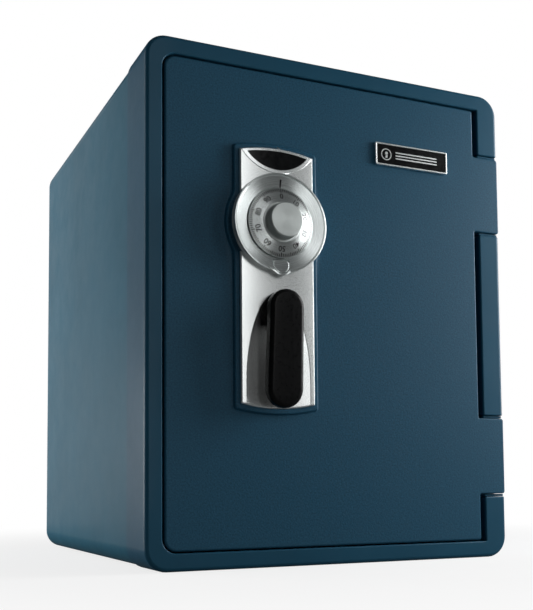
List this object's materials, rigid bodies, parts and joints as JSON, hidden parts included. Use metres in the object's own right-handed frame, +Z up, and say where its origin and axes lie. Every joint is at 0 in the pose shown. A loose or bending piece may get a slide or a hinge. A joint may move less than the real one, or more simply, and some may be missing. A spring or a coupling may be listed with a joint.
{
  "type": "fireproof document safe",
  "caption": "Upright fire-resistant document safe with a side-hinged door, dial combination lock, lever handle, sliding bolts and a shelf inside.",
  "frame": {"origin": "middle of the underside of the box that encloses the whole object", "axes": "+Z up, the door faces -Y, +X to the right seen from the front (the hinge side)"},
  "size_m": [0.362, 0.44, 0.455],
  "materials": {
    "shell_paint": "smooth semi-gloss paint",
    "door_paint": "fine textured paint",
    "insulation": "cast mineral fill",
    "inner_plastic": "moulded, fine texture",
    "seal_rubber": "matt",
    "steel": "plain drawn steel",
    "satin_nickel": "satin, finely turned",
    "black_gloss": "gloss black",
    "brass": "machined",
    "nylon": "natural nylon"
  },
  "bodies": {
    "box": {"front_frame": "shell_paint", "body_jacket": "shell_paint", "body_insulation": "insulation", "inner_liner": "inner_plastic", "shelf": "inner_plastic", "strike_plate": "steel", "strike_screw_lower": "steel", "strike_screw_upper": "steel", "rear_foot_left": "seal_rubber", "rear_foot_right": "seal_rubber", "hinge_pin_lower": "steel", "hinge_pin_upper": "steel"},
    "door": {"door_skin": "door_paint", "door_insulation": "insulation", "door_pan": "inner_plastic", "door_seal": "seal_rubber", "door_plate": "steel", "door_back_panel": "inner_plastic", "key_rack": "inner_plastic", "panel_screw_lower_left": "steel", "panel_screw_lower_right": "steel", "panel_screw_upper_left": "steel", "panel_screw_upper_right": "steel", "hinge_bush_lower": "nylon", "hinge_bush_upper": "nylon", "badge_frame": "satin_nickel", "badge_face": "black_gloss", "lock_plate": "satin_nickel", "window_trim": "satin_nickel", "window_insert": "black_gloss", "dial_ring": "satin_nickel", "key_barrel": "steel", "lock_case": "steel", "lock_case_cover": "steel", "wheel_post": "brass", "fence_pin": "steel", "carrier_guide_outer": "nylon", "carrier_guide_inner": "nylon"},
    "dial": {"dial_disc": "satin_nickel", "dial_knob": "satin_nickel", "dial_spindle": "steel", "drive_wheel": "brass"},
    "second_wheel": {"combination_wheel_2": "brass"},
    "third_wheel": {"combination_wheel_3": "brass"},
    "lever": {"lever_handle": "black_gloss", "lever_hub": "black_gloss", "lever_spindle": "steel", "lever_cam": "steel", "cam_pin": "steel"},
    "bolts": {"bolt_carrier": "steel", "locking_bolt_1": "steel", "locking_bolt_2": "steel", "locking_bolt_3": "steel", "locking_bolt_4": "steel"},
    "fence": {"fence_lever": "steel"},
    "key_cover_body": {"key_cover": "satin_nickel"},
    "key_lock": {"key_plug": "brass", "key_cam": "steel"}
  },
  "joints": [
    {"name": "door_swing", "type": "hinge", "parent": "box", "child": "door", "pos_m": [0.169, -0.18, 0.2275], "axis": [0, 0, 1], "range_deg": [0, 105]},
    {"name": "dial_spin", "type": "hinge", "parent": "door", "child": "dial", "pos_m": [-0.0629, -0.192, 0.2988], "axis": [0, 1, 0], "continuous": true},
    {"name": "second_wheel_spin", "type": "hinge", "parent": "door", "child": "second_wheel", "pos_m": [-0.0629, -0.1535, 0.2988], "axis": [0, 1, 0], "continuous": true},
    {"name": "third_wheel_spin", "type": "hinge", "parent": "door", "child": "third_wheel", "pos_m": [-0.0629, -0.157, 0.2988], "axis": [0, 1, 0], "continuous": true},
    {"name": "lever_turn", "type": "hinge", "parent": "door", "child": "lever", "pos_m": [-0.0629, -0.192, 0.223], "axis": [0, 1, 0], "range_deg": [0, 80]},
    {"name": "bolt_throw", "type": "slide", "parent": "door", "child": "bolts", "axis": [-1, 0, 0], "range_m": [0, 0.012]},
    {"name": "fence_lift", "type": "hinge", "parent": "door", "child": "fence", "pos_m": [-0.0379, -0.157, 0.334], "axis": [0, 1, 0], "range_deg": [0, 8.1]},
    {"name": "key_cover_flip", "type": "hinge", "parent": "door", "child": "key_cover_body", "pos_m": [-0.0629, -0.20369, 0.26528], "axis": [-1, 0, 0], "range_deg": [0, 100]},
    {"name": "key_turn", "type": "hinge", "parent": "door", "child": "key_lock", "pos_m": [-0.0629, -0.192, 0.262], "axis": [0, 1, 0], "range_deg": [0, 90]}
  ],
  "couplings": [
    {"joint": "second_wheel_spin", "follows": "dial_spin", "ratio": 1},
    {"joint": "third_wheel_spin", "follows": "dial_spin", "ratio": 1},
    {"joint": "bolt_throw", "follows": "lever_turn", "m_per_rad": 0.00859},
    {"joint": "fence_lift", "follows": "lever_turn", "ratio": 0.1}
  ]
}
